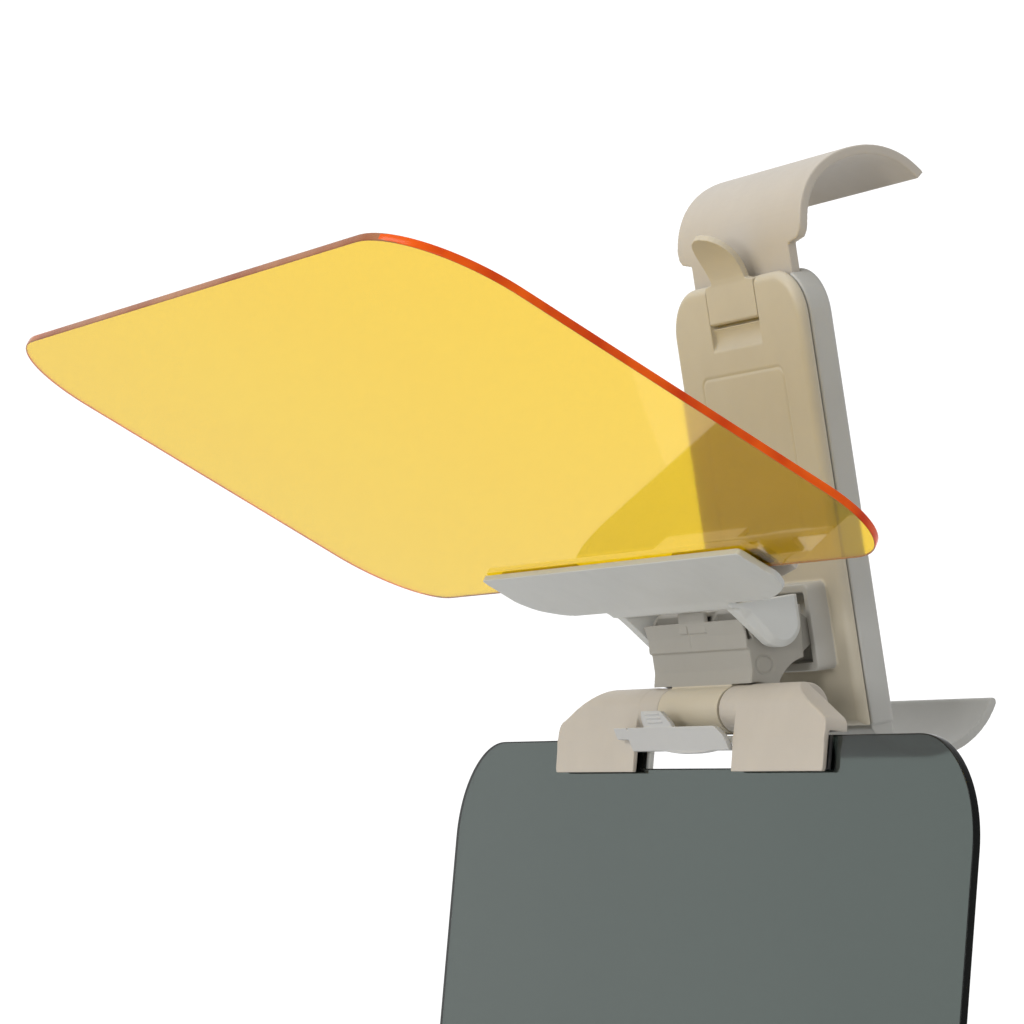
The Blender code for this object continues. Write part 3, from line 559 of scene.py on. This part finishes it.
def make_upper_hook():
    stations = [(NECK_FRONT, 72 * MM, NECK_HALF), (NECK_FRONT, 105 * MM, NECK_HALF),
                (NECK_FRONT, SHOULDER, NECK_HALF)]
    centre = (NECK_FRONT + ARCH_RADIUS, SHOULDER + 1 * MM)
    for angle in [180 - 1.5 * i for i in range(10)] + [164 - 4 * i for i in range(33)]:
        fullness = 0.9 * MM * sin(radians(2 * min(90, 180 - angle))) ** 2
        y, height = arc(centre, ARCH_RADIUS + fullness, angle, angle, 1)[0]
        low = min(1.0, (height - SHOULDER) / HOOK_CORNER)
        stations.append((y, height, HOOK_HALF - HOOK_CORNER * (1 - sqrt(1 - (1 - low) ** 2))))
    sheet = bent_sheet(stations, 2.8 * MM)
    moulded("upper_hook_skin", sheet, CLIP_PLACE, "sliding_hook", "beige_abs", PALE_BEIGE, ["upper_hook"],
            0.34 * MM, 6, 0.25)


TAB_HALF = 10 * MM


def make_lock_lever():
    half = 14.2 * MM
    stations = [(CLIP_FRONT, 119.6 * MM, half), (CLIP_FRONT, 126 * MM, half), (CLIP_FRONT, 130.4 * MM, half),
                (CLIP_FRONT - 0.1 * MM, CLIP_HEIGHT, TAB_HALF)]
    reach = 15.5 * MM
    for step in range(1, 15):
        share = 0.995 * step / 14
        along = reach * share
        rounding = max(0.0, (along - (reach - TAB_HALF)) / TAB_HALF)
        lean = radians(24) * (0.6 + 0.8 * share)
        stations.append((CLIP_FRONT - along * sin(lean), CLIP_HEIGHT + along * cos(lean),
                         TAB_HALF * sqrt(max(0.02, 1 - rounding * rounding))))
    lever = bent_sheet(stations, 1.9 * MM, 16)
    reach_x = Vector((half, 0, 0))
    join(lever, rod(1.15 * MM, LEVER_AXIS - reach_x, LEVER_AXIS + reach_x))
    join(lever, box((-5.4 * MM, -10 * MM, 122.6 * MM), (5.4 * MM, NECK_FRONT - GAP, 126.6 * MM)))
    moulded("lock_lever_skin", lever, CLIP_PLACE, "lever", "beige_abs", BEIGE, ["lock_lever"],
            0.22 * MM, 5, 0.35)


# ---- arm ---------------------------------------------------------------------------------------
ARM_HALF = 29.5 * MM
BARREL = 7 * MM
BARREL_HALF = 18 * MM
KNUCKLE_ROOM = BARREL + 0.5 * MM


def arm_outline():
    """Side view of the arm's block, from the top of its front wall round to the upper barrel."""
    panel = [(-38.2 * MM, 35.1 * MM), (-39.8 * MM, 35.1 * MM), (-39 * MM, 31 * MM), (-39.2 * MM, 26.9 * MM)]
    front = [(-38.4 * MM, 26.3 * MM), (-38.4 * MM, 21 * MM), (-39.4 * MM, 16.9 * MM), (-39.4 * MM, 12 * MM)]
    under = [(-31.7 * MM, 12 * MM)] + arc((-20 * MM, 10 * MM), 11.7 * MM, 170, 96, 12)
    barrel = arc(NIGHT_AXIS.yz, 5.6 * MM, 65, 215, 18)
    return panel + front + under + [(-20 * MM, 36.6 * MM)] + barrel + [(-38.2 * MM, 29.2 * MM)]


def make_arm():
    arm = prism_x(arm_outline(), ARM_HALF)
    neck = [(-22 * MM, 21.8 * MM), (-15.8 * MM, 25.4 * MM)]
    neck += arc(TILT_AXIS.yz, 2.6 * MM, -90, 90, 8) + [(-22 * MM, 36.4 * MM)]
    join(arm, prism_x(neck, 26.9 * MM))
    tongue = [(-7.8 * MM, 32 * MM), (7.8 * MM, 32 * MM), (7.8 * MM, 38.2 * MM), (-7.8 * MM, 38.2 * MM)]
    join(arm, prism_y(fillet(tongue, [0, 0, 1.2 * MM, 1.2 * MM]), -39.6 * MM, -38.2 * MM))
    join(arm, box((-7.4 * MM, -39 * MM, 36.4 * MM), (7.4 * MM, -33 * MM, 37.7 * MM)))
    seam = [(-42 * MM, 34.4 * MM), (-39.25 * MM, 34.4 * MM), (-38.7 * MM, 31 * MM), (-38.9 * MM, 27.6 * MM),
            (-42 * MM, 27.6 * MM)]
    cut(arm, prism_x(seam, 0.35 * MM, -3.2 * MM))
    for side in (-1, 1):
        a, b = sorted((side * 8.6 * MM, side * 27.6 * MM))
        cut(arm, box((a, -38.1 * MM, 27.4 * MM), (b, -35.6 * MM, 40 * MM)))
    across = Vector((1, 0, 0))
    for side in (-1, 1):
        out = side * across
        end = Vector((0, -34 * MM, 21.5 * MM)) + ARM_HALF * out
        ring = rod(3 * MM, end - 0.4 * MM * out, end + MM * out)
        cut(arm, cut(ring, rod(2.3 * MM, end - MM * out, end + 2 * MM * out)))
        cut(arm, rod(KNUCKLE_ROOM, DAY_AXIS + 40 * MM * out, DAY_AXIS + BARREL_HALF * out))
    join(arm, rod(BARREL, DAY_AXIS - BARREL_HALF * across, DAY_AXIS + BARREL_HALF * across, 64))
    # The arm block takes the darkened beige, painted shade.
    made = moulded("arm_skin", arm, CLIP_PLACE, "arm", "beige_abs", ARM_PAINTED_SHADE, ["arm_bracket"],
                   0.24 * MM, 4, 0.14)
    # The hinge barrel takes the lighter shell beige: painted light, for the light coming through the amber
    # lens.
    barrel = joint_place("day_hinge")
    paint_light_tone(made, BEIGE, lambda at: (at.yz - barrel.yz).length < 7.4 * MM)


# ---- lens holders -------------------------------------------------------------------------------
LENS_THICK = 2.2 * MM
LENS_LENGTH = 158 * MM
HINGE_CORNER = 30 * MM
FREE_CORNER = 33 * MM
NOTCH_HALF = 31 * MM
NOTCH_DEPTH = 8.8 * MM
EDGE_ROUND = 0.35 * MM

NIGHT_LENS_TOP = -29.3 * MM
NIGHT_LENS_BACK = 0.6 * MM
DAY_LENS_TOP = -8.2 * MM
DAY_LENS_BACK = -2.4 * MM
DAY_FOOT = -18.2 * MM
LOBE_GAP = 29.9 * MM
PAD_THICK = 0.7 * MM
LOBE_THICK = 1.7 * MM


def lens_outline(top, inset=0.0):
    """The lens's outline as (X, Z), with a notch in its top edge; inset draws it inwards."""
    half, low, high = LENS_WIDTH / 2 - inset, top - LENS_LENGTH + inset, top - inset
    free, hinge = FREE_CORNER - inset, HINGE_CORNER - inset
    right = arc((half - free, low + free), free, 270, 360, 24)
    right += arc((half - hinge, high - hinge), hinge, 0, 90, 24)
    right += [(NOTCH_HALF + inset, high), (NOTCH_HALF + inset, top - NOTCH_DEPTH - inset)]
    return mirrored(right)


def make_lens(name, top, back, place, rides_on, slot, finishes, node):
    """A polished sheet with softly rounded edges; finishes are sheet, side edges, other edges."""
    front = back - LENS_THICK
    turns = [radians(90 * i / 3) for i in range(4)]
    rim = [(EDGE_ROUND * (1 - sin(t)), front + EDGE_ROUND * (1 - cos(t))) for t in turns]
    rim += [(inset, front + back - y) for inset, y in reversed(rim)]
    solid = loft([[(x, y, z) for x, z in lens_outline(top, inset)] for inset, y in rim])
    mesh = bake_down(solid, place)
    for finish in finishes:
        mesh.materials.append(finish)
    made = skin(name, mesh, rides_on, slot, finishes[0], node)
    for face in mesh.polygons:
        face.use_smooth = len(face.vertices) == 4
        if face.use_smooth:
            # Side-edge faces get the second finish, on the amber sheet the one with the stronger painted
            # glow.
            face.material_index = 1 if abs(face.normal.x) > 0.35 else 2
    return made


def jaw_edge(top, shoulder, foot):
    """The right-hand edge of a jaw, from its foot up, as (X, Z)."""
    return [(JAW_HALF - 1.2 * MM, foot), (JAW_HALF, foot + 1.2 * MM), (JAW_HALF, shoulder),
            (JAW_HALF - 3 * MM, shoulder + 6.5 * MM), (JAW_HALF - 15 * MM, top)]


def lobes_outline(top, shoulder, foot, gap_top):
    return mirrored([(LOBE_GAP, gap_top), (LOBE_GAP, foot)] + jaw_edge(top, shoulder, foot))


EAR_TOP = 7.4 * MM
EAR_INNER = 31.2 * MM
EAR_OUTER = 37.2 * MM
EAR_CHAMFER = 1.9 * MM


def ear_outline(trim=0.0):
    """A hinge ear: round below the axis at rest, flat on top, running out into the web."""
    round_end = arc((1.3 * MM, 0), 6.7 * MM - trim, 0, -130, 24)
    run_out = [(-9.6 * MM + trim, 2.6 * MM + trim), (-13 * MM + trim, 6.4 * MM), (-12.4 * MM, EAR_TOP)]
    return turned(round_end + run_out + [(8 * MM - trim, EAR_TOP)], -NIGHT_ANGLE)


def web_outline():
    """The web between plate and ears, at rest: it bends from the plate to the ears' flat tops."""
    under = [(-11.4 * MM, 5.9 * MM), (-13.4 * MM, 6.3 * MM), (-16.9 * MM, 9.4 * MM)]
    over = [(-15.6 * MM, 10.7 * MM), (-12.6 * MM, 8 * MM), (-11.4 * MM, EAR_TOP)]
    return turned(under + over, -NIGHT_ANGLE)


def make_night_back_jaw():
    front = NIGHT_LENS_BACK + GAP
    corners = [(80 * MM, -40.3 * MM), (80.6 * MM, -27 * MM), (76 * MM, -21.4 * MM), (62 * MM, -16.7 * MM)]
    radii = [1.4 * MM, 1.6 * MM, 3.5 * MM, 7 * MM]
    plate = prism_y(fillet(mirrored(corners), radii + radii[::-1]), front, front + 2 * MM)
    join(plate, prism_x(web_outline(), EAR_OUTER - GAP))
    for side in (-1, 1):
        inner, outer = side * EAR_INNER, side * EAR_OUTER
        rings = [(inner, 0), (outer - side * EAR_CHAMFER, 0), (outer, EAR_CHAMFER)]
        join(plate, loft([[(x, y, z) for y, z in ear_outline(trim)] for x, trim in rings]))
    moulded("night_back_jaw_skin", plate, NIGHT_PLACE, "night_visor", "light_grey_abs", LIGHT,
            ["night_back_jaw"], 0.26 * MM, 6, 0.18)


def make_night_front_jaw():
    back = NIGHT_LENS_BACK - LENS_THICK - PAD_THICK - 3 * GAP
    jaw = prism_y(lobes_outline(-18.5 * MM, -28 * MM, -35.5 * MM, -27.6 * MM), back - LOBE_THICK, back)
    join(jaw, box((-60 * MM, back - 0.5 * MM, -27.2 * MM), (60 * MM, NIGHT_LENS_BACK, -20 * MM)))
    moulded("night_front_jaw_skin", jaw, NIGHT_PLACE, "night_visor", "beige_abs", PALE_BEIGE,
            ["night_front_jaw"], 0.3 * MM, 4, 0.2)


def make_day_front_jaw():
    """The lobes in front of the day lens; they wrap over the hinge and thin out at both ends."""
    back = DAY_LENS_BACK - LENS_THICK - PAD_THICK - 2 * GAP
    front, wrap_half, wrap = back - LOBE_THICK, 57 * MM, 7.15 * MM
    skirt = [(front, -9 * MM), (front + 0.3 * MM, DAY_FOOT), (back, DAY_FOOT), (back, -7.2 * MM)]
    jaw = prism_x(arc((0, 0), wrap, -14, 180, 28) + skirt + [(3.2 * MM, -7.2 * MM)], JAW_HALF)
    right_edge = [(JAW_HALF, DAY_FOOT - 0.3 * MM), (JAW_HALF, -4 * MM), (wrap_half, wrap)]
    radii = [1.6 * MM, 2.4 * MM, 2.5 * MM]
    keep_inside(jaw, prism_y(fillet(mirrored(right_edge), radii + radii[::-1]), -30 * MM, 30 * MM))
    for side in (-1, 1):
        a, b = sorted((side * wrap_half, side * 90 * MM))
        cut(jaw, box((a, -0.4 * MM, -30 * MM), (b, 30 * MM, 30 * MM)))
    opening = [(-LOBE_GAP, -40 * MM), (LOBE_GAP, -40 * MM), (LOBE_GAP, 20 * MM), (-LOBE_GAP, 20 * MM)]
    cut(jaw, prism_y(opening, -30 * MM, 30 * MM))
    for side, inner in ((-1, BARREL_HALF + GAP), (1, BARREL_HALF + GAP + 1 * MM)):
        join(jaw, rod(BARREL, (side * 31 * MM, 0, 0), (side * inner, 0, 0), 64))
    gusset = fillet([(32 * MM, -10.4 * MM), (32 * MM, 6 * MM), (28 * MM, 5.4 * MM), (19.4 * MM, -1.6 * MM)],
                    [0, 0, 2 * MM, 2 * MM])
    wrapped = rod(wrap - 0.05 * MM, (15 * MM, 0, 0), (35 * MM, 0, 0), 64)
    join(jaw, keep_inside(prism_y(gusset[::-1], front, 0), wrapped))
    join(jaw, box((-34 * MM, -0.2 * MM, -9.6 * MM), (34 * MM, 3 * MM, -7.3 * MM)))
    for side in (-1, 1):
        a, b = sorted((side * 30 * MM, side * 33.8 * MM))
        join(jaw, box((a, 0, -9.2 * MM), (b, 2.8 * MM, -5 * MM)))
    moulded("day_front_jaw_skin", jaw, DAY_PLACE, "day_visor", "beige_abs", PALE_BEIGE, ["day_front_jaw"],
            0.28 * MM, 7, 0.2)


def make_day_back_jaw():
    outline = lobes_outline(-7.6 * MM, -14.6 * MM, DAY_FOOT, -9.6 * MM)
    jaw = prism_y(outline, DAY_LENS_BACK + GAP, -0.5 * MM)
    moulded("day_back_jaw_skin", jaw, DAY_PLACE, "day_visor", "light_grey_abs", LIGHT, ["day_back_jaw"],
            0.28 * MM, 3, 0.2)


def slanted(start, end, back_shift, front_shift=0.0):
    """The (Y, Z) outline of a plate from start to end; the shifts move its two faces along +Y."""
    return [(start[0] + front_shift, start[1]), (start[0] + back_shift, start[1]),
            (end[0] + back_shift, end[1]), (end[0] + front_shift, end[1])]


def make_day_catch():
    """The sprung bar under the hinge, with a ribbed finger tab and a slanted right-hand end."""
    half, wall = 29.2 * MM, 1.9 * MM
    foot, tip, tab_top = (-8 * MM, -12.3 * MM), (-11.8 * MM, -5.75 * MM), (-14.3 * MM, -1.4 * MM)
    bar = prism_x(slanted(foot, tip, wall), half)
    view = [(-half, -13 * MM), (-4 * MM, -13 * MM), (half, -13 * MM), (half, -8.4 * MM),
            (half - 4.4 * MM, -5.2 * MM), (4 * MM, -5.6 * MM), (-half + 2 * MM, -5.6 * MM),
            (-half, -8 * MM)]
    keep_inside(bar, prism_y(fillet(view, [0, 0, 0, 1.5 * MM, 1.5 * MM, 0, 1.5 * MM, 1.5 * MM]), -20 * MM, 0))
    corner = [(22.5 * MM, -20 * MM), (34 * MM, -20 * MM), (34 * MM, -7.2 * MM), (half, -7.6 * MM)]
    leans = ((-16 * MM, 3.4 * MM), (0, -1.4 * MM))
    cut(bar, loft([[(x + lean, y, z) for x, y in corner] for z, lean in leans]))
    bulge = [(-16 * MM, -11.6 * MM), (26 * MM, -11.6 * MM), (14 * MM, -13 * MM), (-2 * MM, -13.2 * MM)]
    join(bar, prism_y(fillet(bulge, [0, 0, 5 * MM, 6 * MM])[::-1], -8 * MM, -6.3 * MM))
    end_low = tuple(Vector(foot).lerp(Vector(tip), 0.5))
    join(bar, prism_x(slanted(end_low, tip, wall), 4 * MM, -32 * MM))
    tab = prism_x(slanted(foot, tab_top, wall - 0.1 * MM, 0.1 * MM), 8.5 * MM, -8 * MM)
    shape = [(-16.5 * MM, -13 * MM), (0.5 * MM, -13 * MM), (0.5 * MM, -4.8 * MM), (-3 * MM, -1.2 * MM),
             (-14.6 * MM, -1.2 * MM), (-16.5 * MM, -4 * MM)]
    corners = fillet(shape, [0, 0, 1 * MM, 1.6 * MM, 1.2 * MM, 1 * MM])
    join(bar, keep_inside(tab, prism_y(corners, -20 * MM, 0)))
    tab_slope = 0.575              # how far the tab leans out for each step up
    for i in range(3):
        height = (-4.3 + 1.1 * i) * MM
        y = tip[0] - (height - tip[1]) * tab_slope
        join(bar, rod(0.4 * MM, (-12.6 * MM, y + 0.2 * MM, height), (-4 * MM, y + 0.2 * MM, height), 16))
    web = [(-2.5 * MM, -10.6 * MM), (-2.5 * MM, -9 * MM), (-8.6 * MM, -9 * MM), (-8.6 * MM, -10.6 * MM)]
    join(bar, prism_x(web, 9.8 * MM))
    moulded("day_catch_skin", bar, DAY_PLACE, "catch", "light_grey_abs", PALE_GREY, ["day_catch"],
            0.2 * MM, 4, 0.3)


def make_pads():
    pads = (("night", NIGHT_LENS_BACK, -35 * MM, -30 * MM, NIGHT_PLACE),
            ("day", DAY_LENS_BACK, -17.6 * MM, -8.4 * MM, DAY_PLACE))
    for prefix, lens_back, low, high, place in pads:
        back = lens_back - LENS_THICK - GAP
        for side, word in ((-1, "left"), (1, "right")):
            a, b = sorted((side * (LOBE_GAP + 2 * MM), side * (JAW_HALF + 0.6 * MM)))
            pad = box((a, back - PAD_THICK, low), (b, back, high))
            moulded(f"{prefix}_pad_{word}_skin", pad, place, f"{prefix}_visor", "black_rubber", RUBBER,
                    [f"{prefix}_pad_{word}"], 0.18 * MM, 2, 0.1)


# ---- studio ---------------------------------------------------------------------------------
LOOKS_ALONG = Vector((-0.9005, 0.4347, -0.0045))     # the camera's direction of view
CAMERA_PLACE = Vector((1.0131, -0.5798, 0.0140))
CAMERA_ROLL = radians(-8.6)
CAMERA_LENS = 140.6
FLOOR_RADIUS = 0.5
FLOOR_DROP = 0.08


def make_camera():
    """A long lens at the photograph's angle, rolled a little to the left."""
    camera = bpy.data.cameras.new("camera")
    camera.lens = CAMERA_LENS
    made = bpy.data.objects.new("camera", camera)
    bpy.context.scene.collection.objects.link(made)
    level = LOOKS_ALONG.to_track_quat("-Z", "Y").to_matrix().to_4x4()
    made.matrix_world = Matrix.Translation(CAMERA_PLACE) @ level @ Matrix.Rotation(CAMERA_ROLL, 4, "Z")
    bpy.context.scene.camera = made


def make_light(name, place, aim, size, power, colour=(1, 1, 1)):
    lamp = bpy.data.lights.new(name, "AREA")
    lamp.size = size
    lamp.energy = power
    lamp.color = colour
    made = bpy.data.objects.new(name, lamp)
    bpy.context.scene.collection.objects.link(made)
    made.location = place
    made.rotation_euler = (Vector(aim) - Vector(place)).to_track_quat("-Z", "Y").to_euler()


def make_world():
    """A soft pale surround, white where it stands behind the object."""
    world = bpy.data.worlds.new("studio")
    world.use_nodes = True
    nodes, links = world.node_tree.nodes, world.node_tree.links
    way = nodes.new("ShaderNodeTexCoord")
    share = nodes.new("ShaderNodeVectorMath")
    share.operation = "DOT_PRODUCT"
    share.inputs[1].default_value = LOOKS_ALONG
    links.new(way.outputs["Generated"], share.inputs[0])
    level = nodes.new("ShaderNodeMapRange")
    level.interpolation_type = "SMOOTHSTEP"
    for key, value in (("From Min", 0.87), ("From Max", 0.97), ("To Min", 0.63), ("To Max", 1.12)):
        level.inputs[key].default_value = value
    links.new(share.outputs["Value"], level.inputs["Value"])
    sky = nodes["Background"]
    sky.inputs["Color"].default_value = (1, 1, 1, 1)
    links.new(level.outputs["Result"], sky.inputs["Strength"])
    bpy.context.scene.world = world


def make_floor():
    """A round pale table top, a little below the object."""
    mesh = bpy.data.meshes.new("floor")
    work = bmesh.new()
    bmesh.ops.create_circle(work, cap_ends=True, radius=FLOOR_RADIUS, segments=128)
    work.to_mesh(mesh)
    work.free()
    floor = bpy.data.objects.new("floor", mesh)
    floor.location.z = CAD_BOX[0][2] - FLOOR_DROP
    bpy.context.scene.collection.objects.link(floor)
    made, nodes, links, shader = new_material("pale_floor")
    stops = [(0.3, (0.72, 0.72, 0.72)), (0.7, (0.75, 0.75, 0.75))]
    links.new(ramp(nodes, links, noise(nodes, links, 3), stops), shader.inputs["Base Color"])
    shader.inputs["Roughness"].default_value = 0.9
    mesh.materials.append(made)


def make_studio():
    bpy.context.scene.view_settings.view_transform = "Standard"
    make_world()
    make_light("key", (-0.4, -1.6, 1.3), (0, -0.05, 0), 1.0, 17, (1, 0.98, 0.95))
    make_light("edge_strip", (0.75, -1.5, 0.3), (0, -0.03, 0), 0.35, 5)
    make_light("top", (-0.3, 0.1, 1.8), (0, 0, 0), 1.2, 8)
    make_floor()


def finish_cad_nodes():
    """The steel parts keep their CAD shape and get a finished material."""
    for name in ("lever_pin", "tilt_pin", "night_hinge_pin", "day_hinge_pin", "night_washer_left",
                 "night_washer_right", "day_washer"):
        node = frame["nodes"][name]
        for slot in node.material_slots:
            slot.material = STEEL


def main():
    make_camera()
    make_studio()
    finish_cad_nodes()
    make_front_shell()
    make_rear_shell()
    make_screws()
    make_upper_hook()
    make_lock_lever()
    make_arm()
    make_lens("night_lens_sheet", NIGHT_LENS_TOP, NIGHT_LENS_BACK, NIGHT_PLACE, "night_visor",
              "amber_acrylic", (AMBER, AMBER_EDGE, AMBER_RIM), "night_lens")
    make_night_back_jaw()
    make_night_front_jaw()
    make_lens("day_lens_sheet", DAY_LENS_TOP, DAY_LENS_BACK, DAY_PLACE, "day_visor",
              "smoke_acrylic", (SMOKE, SMOKE_EDGE, SMOKE_EDGE), "day_lens")
    make_day_front_jaw()
    make_day_back_jaw()
    make_day_catch()
    make_pads()


main()
